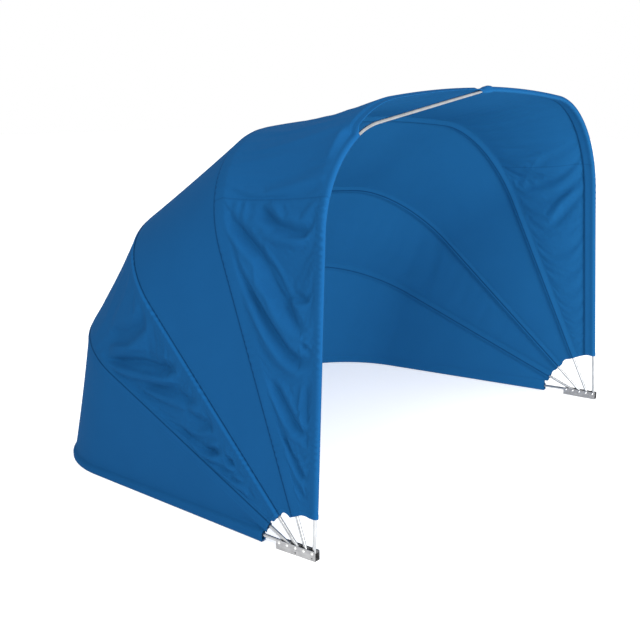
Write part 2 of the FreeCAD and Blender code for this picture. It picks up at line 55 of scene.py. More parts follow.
cameraValues = dict(
    place=(-3.2604, -2.4597, 1.3533),
    azimuth=-52.53,
    elevation=12.40,
    lens=56.62,
)


def addCamera(values):
    data = bpy.data.cameras.new("camera")
    data.lens = values["lens"]
    data.clip_end = 50
    camera = bpy.data.objects.new("camera", data)
    scene.collection.objects.link(camera)
    camera.location = values["place"]
    camera.rotation_euler = (math.radians(90 - values["elevation"]), 0,
                             math.radians(values["azimuth"]))
    scene.camera = camera


lightValues = dict(
    key=dict(place=(-3.4, -1.4, 3.6), aim=(0, 0, 0.6), size=1.2, power=46),
    fill=dict(place=(-1.3, -3.8, 1.9), aim=(0.5, 0.5, 0.5), size=2.6, power=185),
    back=dict(place=(0.5, 3.6, 3.6), aim=(0, 0, 0.6), size=3.0, power=15),
)
roomValues = dict(light=(1.0, 1.0, 1.0), strength=1.0)
floorValues = dict(width=60, level=-0.0005, colour=(0.84, 0.84, 0.84), roughness=0.8, glow=0.45)


def addLights():
    for name, values in lightValues.items():
        data = bpy.data.lights.new(name, "AREA")
        data.size = values["size"]
        data.energy = values["power"]
        light = bpy.data.objects.new(name, data)
        scene.collection.objects.link(light)
        light.location = values["place"]
        aim = Vector(values["aim"]) - light.location
        light.rotation_euler = aim.to_track_quat("-Z", "Y").to_euler()
    world = bpy.data.worlds.new("room")
    world.use_nodes = True
    background = world.node_tree.nodes["Background"]
    background.inputs["Color"].default_value = (*roomValues["light"], 1)
    background.inputs["Strength"].default_value = roomValues["strength"]
    scene.world = world
    scene.view_settings.view_transform = "Standard"


def addFloor(values):
    bpy.ops.mesh.primitive_plane_add(size=values["width"], location=(0, 0, values["level"]))
    floor = bpy.context.object
    floor.name = "floor"
    paint = bpy.data.materials.new("floor_paint")
    paint.use_nodes = True
    shader = paint.node_tree.nodes["Principled BSDF"]
    shader.inputs["Base Color"].default_value = (*values["colour"], 1)
    shader.inputs["Roughness"].default_value = values["roughness"]
    shader.inputs["Emission Color"].default_value = (1, 1, 1, 1)
    shader.inputs["Emission Strength"].default_value = values["glow"]
    floor.data.materials.append(paint)


addCamera(cameraValues)
addLights()
bpy.ops.object.select_all(action="DESELECT")
addFloor(floorValues)
print("camera, lights and floor are in")


# materials

class Wire:
    # a socket that can be used in plain arithmetic
    def __init__(self, tree, socket):
        self.tree = tree
        self.socket = socket

    def node(self, kind, settings=None, **inputs):
        # inputs are named after the node's sockets, or n0, n1 and so on by their order
        made = self.tree.nodes.new(kind)
        for name, value in (settings or {}).items():
            if name == "stops":
                ramp = made.color_ramp
                for index, (place, colour) in enumerate(value):
                    stop = ramp.elements[index] if index < 2 else ramp.elements.new(place)
                    stop.position = place
                    stop.color = (*colour, 1)
            else:
                setattr(made, name, value)
        for name, value in inputs.items():
            key = int(name[1:]) if name[0] == "n" and name[1:].isdigit() else name.replace("_", " ")
            if isinstance(value, Wire):
                self.tree.links.new(value.socket, made.inputs[key])
            else:
                made.inputs[key].default_value = value
        return made

    def out(self, kind, settings=None, output=0, **inputs):
        return Wire(self.tree, self.node(kind, settings, **inputs).outputs[output])

    def math(self, operation, *values):
        inputs = {f"n{index}": value for index, value in enumerate(values)}
        return self.out("ShaderNodeMath", dict(operation=operation), **inputs)

    def feed(self, shader, name):
        self.tree.links.new(self.socket, shader.inputs[name])

    def __add__(self, other):
        return self.math("ADD", self, other)

    __radd__ = __add__

    def __sub__(self, other):
        return self.math("SUBTRACT", self, other)

    def __rsub__(self, other):
        return self.math("SUBTRACT", other, self)

    def __mul__(self, other):
        return self.math("MULTIPLY", self, other)

    __rmul__ = __mul__

    def __truediv__(self, other):
        return self.math("DIVIDE", self, other)

    def band(self, centre, width):
        # 1 on centre, falling to 0 at width from it
        return 1 - self.math("MINIMUM", self.math("ABSOLUTE", self - centre) / width, 1.0)

    def wave(self, length):
        return self.math("SINE", self * (2 * math.pi / length)) * 0.5 + 0.5


def newMaterial(name):
    material = bpy.data.materials.new(name)
    material.use_nodes = True
    tree = material.node_tree
    shader = tree.nodes["Principled BSDF"]
    return material, shader, Wire(tree, shader.outputs[0])


def colourMix(base, amount, first, second):
    # first where amount is 0, second where it is 1
    colours = [colour if isinstance(colour, Wire) else (*colour, 1) for colour in (first, second)]
    return base.out("ShaderNodeMix", dict(data_type="RGBA"), output=2, Factor=amount,
                    n6=colours[0], n7=colours[1])


clothValues = dict(
    colour=(0.0056, 0.0585, 0.167), worn=(0.0068, 0.068, 0.190),
    # painted fill light: the inner face of the same cloth gets a lighter copy of its colour
    paintedInsideLight=(0.0080, 0.077, 0.203), paintedInsideLightWorn=(0.0098, 0.090, 0.230),
    # painted shade for the shadow lines, and a painted highlight for the crest over a tube
    paintedShade=(0.0018, 0.024, 0.080), paintedHighlight=(0.0075, 0.095, 0.275),
    thread=(0.009, 0.095, 0.26), threadShow=0.7,
    spotScale=5.0, spotTone=0.9, slubScale=260.0, slubTone=0.5, weaveTone=0.16,
    weave=0.0011, weaveHeight=0.00009, slubHeight=0.00012,
    stitchLength=0.0052, stitchWidth=0.0011, stitchGap=0.3, stitchHeight=0.0005,
    roughness=0.9, spread=0.08, specular=0.02, bump=0.7,
)


def makeCloth(name, values, seams=True):
    # woven canvas: u runs along the hoops and v across the panel, both in metres
    material, shader, base = newMaterial(name)
    place = base.out("ShaderNodeUVMap", dict(uv_map="cut"))
    along, across = (base.out("ShaderNodeSeparateXYZ", output=axis, Vector=place)
                     for axis in (0, 1))
    warp = along.wave(values["weave"])
    weft = across.wave(values["weave"])
    weave = warp * weft + (1 - warp) * (1 - weft)
    spots = base.out("ShaderNodeTexNoise", Vector=place, Scale=values["spotScale"], Detail=4.0)
    slubs = base.out("ShaderNodeTexNoise", Vector=place, Scale=values["slubScale"], Detail=2.0)
    tone = (spots - 0.5) * values["spotTone"] + (slubs - 0.5) * values["slubTone"] \
        + (weave - 0.5) * values["weaveTone"] + 0.5
    tone = tone.math("MAXIMUM", tone.math("MINIMUM", tone, 1.0), 0.0)
    colour = colourMix(base, tone, values["colour"], values["worn"])
    height = weave * values["weaveHeight"] + slubs * values["slubHeight"]
    if seams:
        paintedShade, stitch, run, inside, paintedHighlight = (
            base.out("ShaderNodeAttribute", dict(attribute_name=layer), output=2)
            for layer in ("paintedShade", "stitch", "run", "inside", "paintedHighlight"))
        dash = run.wave(values["stitchLength"])
        dash = dash.math("GREATER_THAN", dash, values["stitchGap"])
        row = stitch.band(0.0, values["stitchWidth"])
        thread = dash * row
        # painted fill light: where inside is 1 the cloth takes the lighter inner colour
        paintedInsideLight = colourMix(base, tone, values["paintedInsideLight"], values["paintedInsideLightWorn"])
        colour = colourMix(base, inside, colour, paintedInsideLight)
        # painted highlight along the crest of the cloth over a tube
        colour = colourMix(base, paintedHighlight, colour, values["paintedHighlight"])
        # painted shade: dark shadow lines along seams, hoops and the crease of the front hem
        colour = colourMix(base, paintedShade, colour, values["paintedShade"])
        colour = colourMix(base, thread * values["threadShow"], colour, values["thread"])
        height = height + thread * values["stitchHeight"] - row * values["stitchHeight"]
    colour.feed(shader, "Base Color")
    bump = base.out("ShaderNodeBump", Height=height, Strength=values["bump"], Distance=1.0)
    bump.feed(shader, "Normal")
    roughness = (tone - 0.5) * values["spread"] + values["roughness"]
    roughness.feed(shader, "Roughness")
    shader.inputs["Specular IOR Level"].default_value = values["specular"]
    return material


metalValues = dict(
    tube=dict(colour=(0.50, 0.51, 0.52), dull=(0.34, 0.35, 0.36), roughness=0.3, spread=0.16,
              grain=(900, 900, 30), scratch=0.00002),
    bracket=dict(colour=(0.37, 0.37, 0.375), dull=(0.24, 0.24, 0.245), roughness=0.42, spread=0.22,
                 grain=(120, 25, 120), scratch=0.00004),
    rivet=dict(colour=(0.74, 0.74, 0.73), dull=(0.60, 0.60, 0.59), roughness=0.28, spread=0.12,
               grain=(300, 300, 300), scratch=0.00002),
    fitting=dict(colour=(0.62, 0.63, 0.65), dull=(0.48, 0.49, 0.51), roughness=0.33, spread=0.15,
                 grain=(400, 400, 400), scratch=0.00002),
)
cloudValues = dict(scale=28.0, dullest=0.36, brightest=0.62)


def makeMetal(name, values):
    # drawn or rolled metal: fine grain, cloudy dull patches
    material, shader, base = newMaterial(name)
    place = base.out("ShaderNodeTexCoord", output="Object")
    stretched = base.out("ShaderNodeMapping", Vector=place, Scale=values["grain"])
    grain = base.out("ShaderNodeTexNoise", Vector=stretched, Scale=1.0, Detail=3.0)
    clouds = base.out("ShaderNodeTexNoise", Vector=place, Scale=cloudValues["scale"], Detail=5.0)
    stops = [(cloudValues["dullest"], values["dull"]), (cloudValues["brightest"], values["colour"])]
    colour = base.out("ShaderNodeValToRGB", dict(stops=stops), Fac=grain * 0.5 + clouds * 0.5)
    colour.feed(shader, "Base Color")
    roughness = (clouds - 0.5) * values["spread"] + values["roughness"]
    roughness.feed(shader, "Roughness")
    bump = base.out("ShaderNodeBump", Height=grain * values["scratch"], Strength=0.6, Distance=1.0)
    bump.feed(shader, "Normal")
    shader.inputs["Metallic"].default_value = 1.0
    return material


washerValues = dict(colour=(0.10, 0.10, 0.105), speck=(0.14, 0.14, 0.145), roughness=0.5,
                    spread=0.15, grain=700.0)


def makeNylon(values):
    material, shader, base = newMaterial("washer_nylon")
    place = base.out("ShaderNodeTexCoord", output="Object")
    noise = base.out("ShaderNodeTexNoise", Vector=place, Scale=values["grain"], Detail=3.0)
    colourMix(base, noise, values["colour"], values["speck"]).feed(shader, "Base Color")
    (noise * values["spread"] + values["roughness"]).feed(shader, "Roughness")
    return material


cloth = makeCloth("canopy_cloth", clothValues)
sleeveCloth = makeCloth("sleeve_cloth", clothValues, seams=False)
metals = {name: makeMetal(name + "_metal", values) for name, values in metalValues.items()}
nylon = makeNylon(washerValues)


def paintNode(name, material):
    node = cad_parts[name]
    node.data.materials.clear()
    node.data.materials.append(material)


hoopNames = ["front", "second", "third", "fourth", "rear"]
for side in ("left", "right"):
    paintNode(f"{side}_bracket", metals["bracket"])
    paintNode(f"{side}_pivot_rivets", metals["rivet"])
    paintNode(f"{side}_washers", nylon)
    for hoopName in hoopNames:
        paintNode(f"{hoopName}_{side}_tube", metals["tube"])
paintNode("front_coupler", metals["fitting"])
for hoopName in hoopNames[1:]:
    paintNode(f"{hoopName}_spigot", metals["fitting"])
print("materials are in")


# where the hoops run

hoopValues = dict(
    halfSpan=1.05,
    lean=math.radians(4.4),
    legLength=0.945,
    cornerRadius=0.424,
    crownSlope=math.radians(5.8),
    pivotHeight=0.024,
    pitch=0.032,
    bareLeg=0.1,  # where the columns of cloth start, before they are moved to the hem
    sleeveRadius=0.0076,
    floorGap=0.0008,
    angles=[1.5, 23.4, 46.9, 67.0],  # back from upright; the rear hoop's follows from the floor
)
rearHoop = 4


class Outline:
    # every hoop's shape: leg, corner bend and arched crown on either side of the middle
    # way is measured along it from the left pivot

    def __init__(self, values):
        self.values = values
        lean, slope = values["lean"], values["crownSlope"]
        corner = values["cornerRadius"]
        leg = values["legLength"]
        self.bendX = values["halfSpan"] - leg * math.sin(lean) - corner * math.cos(lean)
        self.bendZ = leg * math.cos(lean) - corner * math.sin(lean)
        self.crownRadius = (self.bendX + corner * math.sin(slope)) / math.sin(slope)
        self.crownZ = self.bendZ - (self.crownRadius - corner) * math.cos(slope)
        self.crownHeight = self.crownZ + self.crownRadius
        self.bendEnd = leg + corner * (math.pi / 2 - lean - slope)
        self.middle = self.bendEnd + self.crownRadius * slope
        rearDrop = (values["pivotHeight"] - values["sleeveRadius"]) / self.crownHeight
        self.angles = [math.radians(angle) for angle in values["angles"]]
        self.angles.append(math.pi / 2 + math.asin(rearDrop))
        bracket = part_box("left_bracket")
        self.rowY = (bracket[0][1] + bracket[1][1]) / 2

    def trace(self, way):
        # across, up, and the outward direction, in the hoop's own plane
        values = self.values
        way = np.asarray(way, float)
        side = np.where(way > self.middle, 1.0, -1.0)
        near = np.where(way > self.middle, 2 * self.middle - way, way)
        leg, corner = values["legLength"], values["cornerRadius"]
        bend = values["lean"] + (near - leg) / corner
        crown = math.pi / 2 - values["crownSlope"] + (near - self.bendEnd) / self.crownRadius
        onLeg, onCrown = near < leg, near > self.bendEnd
        turn = np.where(onLeg, values["lean"], np.where(onCrown, crown, bend))
        x = np.where(onCrown, self.crownRadius * np.cos(crown), self.bendX + corner * np.cos(bend))
        z = np.where(onCrown, self.crownZ + self.crownRadius * np.sin(crown),
                     self.bendZ + corner * np.sin(bend))
        x = np.where(onLeg, values["halfSpan"] - math.sin(values["lean"]) * near, x)
        z = np.where(onLeg, math.cos(values["lean"]) * near, z)
        return side * x, z, side * np.cos(turn), np.sin(turn)

    def pivot(self, hoop):
        return (0, self.rowY + (hoop - 2) * self.values["pitch"], self.values["pivotHeight"])

    def lift(self, hoop, x, up, behind):
        # a point of the hoop's plane, or behind it, in the frame
        angle = self.angles[hoop]
        pivot = self.pivot(hoop)
        y = pivot[1] + up * math.sin(angle) + behind * math.cos(angle)
        z = pivot[2] + up * math.cos(angle) - behind * math.sin(angle)
        return np.stack(np.broadcast_arrays(x, y, z), -1)

    def point(self, hoop, way, offset=0.0, behind=0.0):
        x, up, outX, outUp = self.trace(way)
        if hoop == rearHoop:
            behind = self.toFloor(x, up, behind)
        return self.lift(hoop, x + outX * offset, up + outUp * offset, behind)

    def outwards(self, hoop, way):
        x, up, outX, outUp = self.trace(way)
        return self.lift(hoop, x + outX, up + outUp, 0.0) - self.lift(hoop, x, up, 0.0)

    def toFloor(self, x, up, behind):
        # below the rear tube the cloth hangs to the floor
        height = self.lift(rearHoop, x, up, 0.0)[..., 2] - self.values["floorGap"]
        reach = np.maximum(height / self.values["sleeveRadius"], 1)
        return np.where(np.asarray(behind) > 0, behind * reach, behind)

    def looseLine(self, values, count=240):
        # the front hoop's left half: leg, tighter bend and straight crown
        lean, slope = self.values["lean"], values["slope"]
        leanRun, slopeRise = math.tan(lean), math.tan(slope)
        halfSpan = self.values["halfSpan"]
        cornerZ = (self.crownHeight - slopeRise * halfSpan) / (1 - slopeRise * leanRun)
        corner = np.array([leanRun * cornerZ - halfSpan, cornerZ])
        reach = values["radius"] * math.tan((math.pi / 2 - lean - slope) / 2)
        legTop = corner - reach * np.array([math.sin(lean), math.cos(lean)])
        centre = legTop + values["radius"] * np.array([math.cos(lean), -math.sin(lean)])
        turns = np.linspace(lean, math.pi / 2 - slope, count)
        bend = centre + values["radius"] * np.stack([-np.cos(turns), np.sin(turns)], -1)
        shares = np.linspace(0, 1, count)[:-1, None]
        leg = np.array([-halfSpan, 0.0]) * (1 - shares) + legTop * shares
        shares = np.linspace(0, 1, count)[1:, None]
        crown = bend[-1] * (1 - shares) + np.array([0, self.crownHeight]) * shares
        return np.concatenate([leg, bend, crown])

    def offsetsOf(self, line):
        # where the points of a line lie: the way along the outline, and how far outside it
        ways = np.linspace(0, self.middle, 3000)
        x, up, outX, outUp = self.trace(ways)
        nearest = np.hypot(line[:, :1] - x, line[:, 1:] - up).argmin(axis=1)
        out = (line[:, 0] - x[nearest]) * outX[nearest] + (line[:, 1] - up[nearest]) * outUp[nearest]
        return ways[nearest], out


outline = Outline(hoopValues)
# the front hoop's left half, whose crown is bare as far out as bareCrown
looseValues = dict(radius=0.340, slope=math.radians(8.4), bareCrown=0.795)
loose = outline.looseLine(looseValues)
looseWays, looseOffsets = outline.offsetsOf(loose)


# cloth: helpers for grids of points

def unit(vectors):
    return vectors / np.maximum(np.linalg.norm(vectors, axis=-1, keepdims=True), 1e-12)


def normalsOf(grid):
    down = np.gradient(grid, axis=0)
    along = np.gradient(grid, axis=1)
    return unit(np.cross(along, down))


def calmed(normals, flat, amount):
    # shading that leans towards the flat cloth on either side of a ridge
    share = (normals * flat).sum(axis=-1, keepdims=True)
    return unit(normals + amount * share * flat)


def smoothStep(low, high, value):
    share = np.clip((value - low) / (high - low), 0, 1)
    return share * share * (3 - 2 * share)


def sampler(places, count):
    # a matrix that reads a row of count even samples at places from 0 to 1, on smooth curves
    spot = np.clip(places, 0, 1) * (count - 1)
    start = np.clip(np.floor(spot).astype(int), 0, count - 2)
    t = spot - start
    weights = [(-t ** 3 + 2 * t ** 2 - t) / 2, (3 * t ** 3 - 5 * t ** 2 + 2) / 2,
               (-3 * t ** 3 + 4 * t ** 2 + t) / 2, (t ** 3 - t ** 2) / 2]
    table = np.zeros((len(places), count))
    rows = np.arange(len(places))
    for step, weight in zip((-1, 0, 1, 2), weights):
        np.add.at(table, (rows, np.clip(start + step, 0, count - 1)), weight)
    return table


def gridFaces(rows, columns, wrapped=False):
    index = np.arange(rows * columns).reshape(rows, columns)
    nextRow = np.roll(index, -1, axis=0) if wrapped else index[1:]
    first = index if wrapped else index[:-1]
    faces = np.stack([first[:, :-1], first[:, 1:], nextRow[:, 1:], nextRow[:, :-1]], -1)
    return faces.reshape(-1, 4)


def makeSheet(name, outer, inner, faces, rims, material, layers, cut, normals=None):
    # a closed sheet of cloth: its outer face, its inner face and the rims between them
    count = outer.shape[0] * outer.shape[1]
    allFaces = [faces, faces[:, ::-1] + count]
    for rim in rims:
        after = np.roll(rim, -1)
        allFaces.append(np.stack([rim, rim + count, after + count, after], -1))
    allFaces = np.concatenate(allFaces)
    points = np.concatenate([outer.reshape(-1, 3), inner.reshape(-1, 3)])
    mesh = bpy.data.meshes.new(name)
    mesh.from_pydata(points.tolist(), [], allFaces.tolist())
    mesh.materials.append(material)
    mesh.polygons.foreach_set("use_smooth", np.ones(len(allFaces), bool))
    corners = np.empty(len(mesh.loops), np.int32)
    mesh.loops.foreach_get("vertex_index", corners)
    uvMap = mesh.uv_layers.new(name="cut")
    both = np.tile(cut.reshape(-1, 2), (2, 1))
    uvMap.data.foreach_set("uv", both[corners].astype(np.float32).ravel())
    for layer, values in layers.items():
        both = np.tile(values.ravel(), 2)
        # the inner face is marked for the painted fill light
        if layer == "inside":
            both[count:] = 1
        attribute = mesh.attributes.new(layer, "FLOAT", "POINT")
        attribute.data.foreach_set("value", both.astype(np.float32))
    if normals is not None:
        normals = normals.reshape(-1, 3)
        both = np.concatenate([normals, -normals])
        mesh.normals_split_custom_set_from_vertices(both.tolist())
    mesh.update()
    piece = bpy.data.objects.new(name, mesh)
    scene.collection.objects.link(piece)
    return piece


def shell(name, outer, inner, normals, layers, cut):
    # a sheet with four edges
    index = np.arange(outer.shape[0] * outer.shape[1]).reshape(outer.shape[:2])
    rim = np.concatenate([index[0, :], index[1:, -1], index[-1, -2::-1], index[-2:0:-1, 0]])
    return makeSheet(name, outer, inner, gridFaces(*outer.shape[:2]), [rim], cloth, layers, cut,
                     normals)


# the weather side of the canopy: four panels of cloth

edgeValues = dict(
    # profiles of the edges: (behind the hoop's plane, outwards from its tube) in metres
    over=[(-0.0128, 0.0074), (-0.0116, 0.0078), (-0.0086, 0.0085), (-0.0050, 0.0092),
          (-0.0015, 0.0098), (0.0018, 0.0098), (0.0055, 0.0091), (0.0098, 0.0083),
          (0.0140, 0.0075), (0.0175, 0.0068), (0.0185, 0.0066), (0.0200, 0.0063),
          (0.0230, 0.0058)],
    under=[(0.0108, 0.0061), (0.0130, 0.0059), (0.0145, 0.0058), (0.0160, 0.0059),
           (0.0195, 0.0060), (0.0230, 0.0058)],
    pocket=[(-0.0025, 0.0091), (0.0018, 0.0096), (0.0060, 0.0089), (0.0100, 0.0080),
            (0.0140, 0.0071), (0.0180, 0.0062)],
    turned=[(0.0100, -0.0060), (0.0060, -0.0079), (0.0020, -0.0091), (-0.0025, -0.0089),
            (-0.0060, -0.0068), (-0.0083, -0.0034), (-0.0091, 0.0), (-0.0083, 0.0036),
            (-0.0060, 0.0070)],
    covers=[(-0.0230, 0.0058), (-0.0180, 0.0067), (-0.0140, 0.0075), (-0.0100, 0.0083),
            (-0.0058, 0.0090), (-0.0018, 0.0098), (0.0015, 0.0098), (0.0050, 0.0092),
            (0.0085, 0.0086), (0.0112, 0.0081), (0.0126, 0.0078), (0.0134, 0.0074)],
    meets=[(-0.0230, 0.0058), (-0.0170, 0.0060), (-0.0130, 0.0059), (-0.0102, 0.0061)],
    hem=[(-0.0280, -0.0036), (-0.0205, -0.0037), (-0.0152, -0.0029), (-0.0123, -0.0005),
         (-0.0108, 0.0032), (-0.0084, 0.0066), (-0.0046, 0.0088), (0.0, 0.0092),
         (0.0040, 0.0090), (0.0070, 0.0086)],
    # the front hem's inner layer: (share of the pocket's width, outwards)
    inner=[(1.0, -0.0012), (0.985, -0.0016), (0.8, -0.0024), (0.55, -0.0034), (0.4, -0.0044)],
)
hemValues = dict(width=0.014, thick=0.0026, thin=0.0012, stitch=0.0112)
pocketValues = dict(leftWidth=0.020, rightWidth=0.043, widens=(-0.10, 0.12), narrowest=0.0105,
                    layerGap=0.0019, leaves=(-0.038, -0.006), meets=(-0.065, -0.035),
                    drawn=(0.006, 0.05), puckers=0.007, stitch=0.002)
puckerValues = dict(height=0.0052, length=0.023, seed=2.1, begins=(0.62, 0.87), ends=(1.04, 1.10))
bottomValues = dict(
    # bare tube below the cloth at each hoop, and how far the hem arches between two hoops
    left=[0.104, 0.104, 0.108, 0.090, 0.075],
    right=[0.183, 0.170, 0.147, 0.126, 0.108],
    arch=[0.002, 0.009, 0.003, -0.003],
    reach=0.30,
)
seamValues = dict(height=1.053, rearHeight=1.105, reach=0.38, rise=0.0008, stitch=0.006,
                  laps=(-0.0006, 0.0006), ends=(0.0085, 0.0095), dark=0.35, darkWidth=0.0014)
couplerBump = dict(height=0.0036, length=0.026)


def wayAtHeight(height):
    ways = np.linspace(0, outline.bendEnd, 2000)
    return float(np.interp(height, outline.trace(ways)[1], ways))


seamFront, seamRear = (wayAtHeight(seamValues[key]) for key in ("height", "rearHeight"))
columnValues = dict(
    # columns of points above the hem's edge and on either side of the shoulder seam, in metres
    hem=[0, 0.003, 0.008, 0.0102, 0.0112, 0.0122, 0.0136, 0.0146, 0.018, 0.024],
    seam=[-0.012, -0.006, -0.0015, 0.0, 0.0015, 0.0045, 0.0075, 0.009, 0.0105, 0.016],
)


def bottomColumns(cell, seam):
    # places up the left half: dense at the hem and at the shoulder seam
    places = [hoopValues["bareLeg"] + step for step in columnValues["hem"]]
    if seam:
        around = [seamFront + step for step in columnValues["seam"]]
        count = round((around[0] - places[-1]) / cell)
        places += list(np.linspace(places[-1], around[0], count + 1)[1:-1]) + around
    count = round((outline.middle - places[-1]) / cell)
    return np.array(places + list(np.linspace(places[-1], outline.middle, count + 1)[1:]))


def bothHalves(places):
    return np.concatenate([places, 2 * outline.middle - places[-2::-1]])


def halfWay(way):
    # the same place on the left half
    return np.minimum(way, 2 * outline.middle - way)


leftHalf = np.linspace(0, outline.middle, 3000)
bareFrom = float(np.interp(-looseValues["bareCrown"], outline.trace(leftHalf)[0], leftHalf))


def window(begins, ends, value):
    # 1 between two places, eased in and out
    return smoothStep(*begins, value) * (1 - smoothStep(*ends, value))


def arched(share):
    # 0 at both ends and 1 halfway
    return 4 * share * (1 - share)


def filledPocket(way):
    # 1 where a tube lies in the front hem, 0 along the bare left half of the crown
    leaves = 1 - smoothStep(*pocketValues["leaves"], way - bareFrom)
    return np.maximum(leaves, smoothStep(*pocketValues["meets"], way - outline.middle))


def looseDrop(way, behind):
    # the left tube's tighter bend draws the front hem inwards
    drop = np.where(way < outline.middle, np.interp(way, looseWays, looseOffsets), 0.0)
    return drop * filledPocket(way) * (1 - smoothStep(*pocketValues["drawn"], behind))


def pocketWidth(way):
    left, right = pocketValues["leftWidth"], pocketValues["rightWidth"]
    return left + (right - left) * smoothStep(*pocketValues["widens"], way - outline.middle)


def couplerRise(way):
    # the front hem stands up over the coupler in the middle of the crown
    return couplerBump["height"] * np.exp(-((way - outline.middle) / couplerBump["length"]) ** 4)


rippleValues = dict(drift=1.9, driftLength=0.173, swell=0.45, swellLength=0.291, swellSeed=2.3)


def ripple(way, length, seed):
    # an uneven run of small gathers between -1 and 1
    values = rippleValues
    circle = 2 * math.pi * way
    phase = circle / length + values["drift"] * np.sin(circle / values["driftLength"] + seed)
    swell = np.sin(circle / values["swellLength"] + values["swellSeed"] * seed)
    return np.sin(phase + seed) * (1 - values["swell"] + values["swell"] * swell)


def pucker(way):
    # small gathers where the shoulder seam pulls on the front hem
    values = puckerValues
    gathers = np.maximum(ripple(way, values["length"], values["seed"]), 0)
    return values["height"] * gathers * window(values["begins"], values["ends"], halfWay(way))


# a fold fades towards its ends and pushes up a low ridge on either side
foldShape = dict(fades=(-0.02, 0.22), ridge=0.45, ridgeGap=2.1)


def foldField(way, across, width, folds):
    # how far the folds stand out: valleys are negative
    total = np.zeros(np.broadcast(way, across).shape)
    for crease in folds:
        corners = np.array(crease["path"], float)
        corners = np.stack([corners[:, 0], corners[:, 1] * np.interp(corners[:, 0], *width)], -1)
        best = np.full(total.shape, np.inf)
        place = np.zeros(total.shape)
        steps = np.linalg.norm(np.diff(corners, axis=0), axis=1)
        starts = np.concatenate([[0], np.cumsum(steps)])
        for first, second, start, length in zip(corners[:-1], corners[1:], starts, steps):
            run = (second - first) / length
            t = np.clip((way - first[0]) * run[0] + (across - first[1]) * run[1], 0, length)
            gap = np.hypot(way - first[0] - run[0] * t, across - first[1] - run[1] * t)
            place = np.where(gap < best, start + t, place)
            best = np.minimum(best, gap)
        share = place / starts[-1]
        ends = smoothStep(*foldShape["fades"], share) * smoothStep(*foldShape["fades"], 1 - share)
        away = best / crease["width"]
        ridge = foldShape["ridge"] * np.exp(-(away - foldShape["ridgeGap"]) ** 2)
        total += crease["depth"] * ends * (ridge - np.exp(-away ** 2))
    return total


looseCloth = dict(quality=5, mass=0.18, stiffness=25, shear=12, bending=0.6, slack=0.004,
                  airDamping=1.5, damping=12, shearDamping=8, bendingDamping=1.0,
                  gravity=0.35, frames=22)


def settle(start, held, values):
    # Blender's cloth: the held points stay, the rest hangs and folds between them
    rows, columns = start.shape[:2]
    mesh = bpy.data.meshes.new("panel_settling")
    mesh.from_pydata(start.reshape(-1, 3).tolist(), [], gridFaces(rows, columns).tolist())
    piece = bpy.data.objects.new("panel_settling", mesh)
    scene.collection.objects.link(piece)
    group = piece.vertex_groups.new(name="held")
    group.add(np.nonzero(held.ravel())[0].tolist(), 1.0, "REPLACE")
    modifier = piece.modifiers.new("settle", "CLOTH")
    settings = modifier.settings
    settings.quality = values["quality"]
    settings.mass = values["mass"]
    settings.tension_stiffness = values["stiffness"]
    settings.compression_stiffness = values["stiffness"]
    settings.shear_stiffness = values["shear"]
    settings.bending_stiffness = values["bending"]
    settings.air_damping = values["airDamping"]
    settings.tension_damping = values["damping"]
    settings.compression_damping = values["damping"]
    settings.shear_damping = values["shearDamping"]
    settings.bending_damping = values["bendingDamping"]
    settings.shrink_min = -values["slack"]
    settings.vertex_group_mass = "held"
    settings.effector_weights.gravity = values["gravity"]
    modifier.collision_settings.use_collision = False
    modifier.point_cache.frame_start = 1
    modifier.point_cache.frame_end = values["frames"]
    for frameNumber in range(1, values["frames"] + 1):
        scene.frame_set(frameNumber)
    evaluated = piece.evaluated_get(bpy.context.evaluated_depsgraph_get())
    settled = np.empty(rows * columns * 3)
    evaluated.data.vertices.foreach_get("co", settled)
    bpy.data.objects.remove(piece)
    scene.frame_set(1)
    return settled.reshape(start.shape)


# how far the cloth sags between its hoops: most at the corners
sagValues = dict(depth=0.0025, least=0.25, reach=0.34)
# gathers start clear of the edge they belong to, and folds clear of both
gatherValues = dict(ease=0.06, clear=0.012, foldClear=0.03)
seamGathers = dict(depth=0.0035, length=0.048, seed=0.7, skew=0.25, reach=0.07, clear=0.015,
                   right=0.2)
# the uneven strip over a tube, the painted shadow lines and the painted highlight on the crest
stripValues = dict(length=0.022, seed=0.4, rises=(0.005, 0.009), ends=(1.12, 1.35))
shadowValues = dict(width=0.0022, pocketWidth=0.0018, pocketDark=0.3, rightDark=0.5,
                    rightReach=0.1)
highlightValues = dict(swing=0.2, length=0.027, seed=0.4)
# the rows in the crease of the front hem lie in shade, as far as the bare crown
creaseValues = dict(rows=3, dark=0.6, ends=(-0.25, -0.1))
calmReach = (0.018, 0.040)  # from a hoop, where the shading leans towards flat cloth
rightReach = 0.3  # past the middle, where the folds reach the right side's strength
farAway = 1.0  # stands for a hoop that a row isn't near


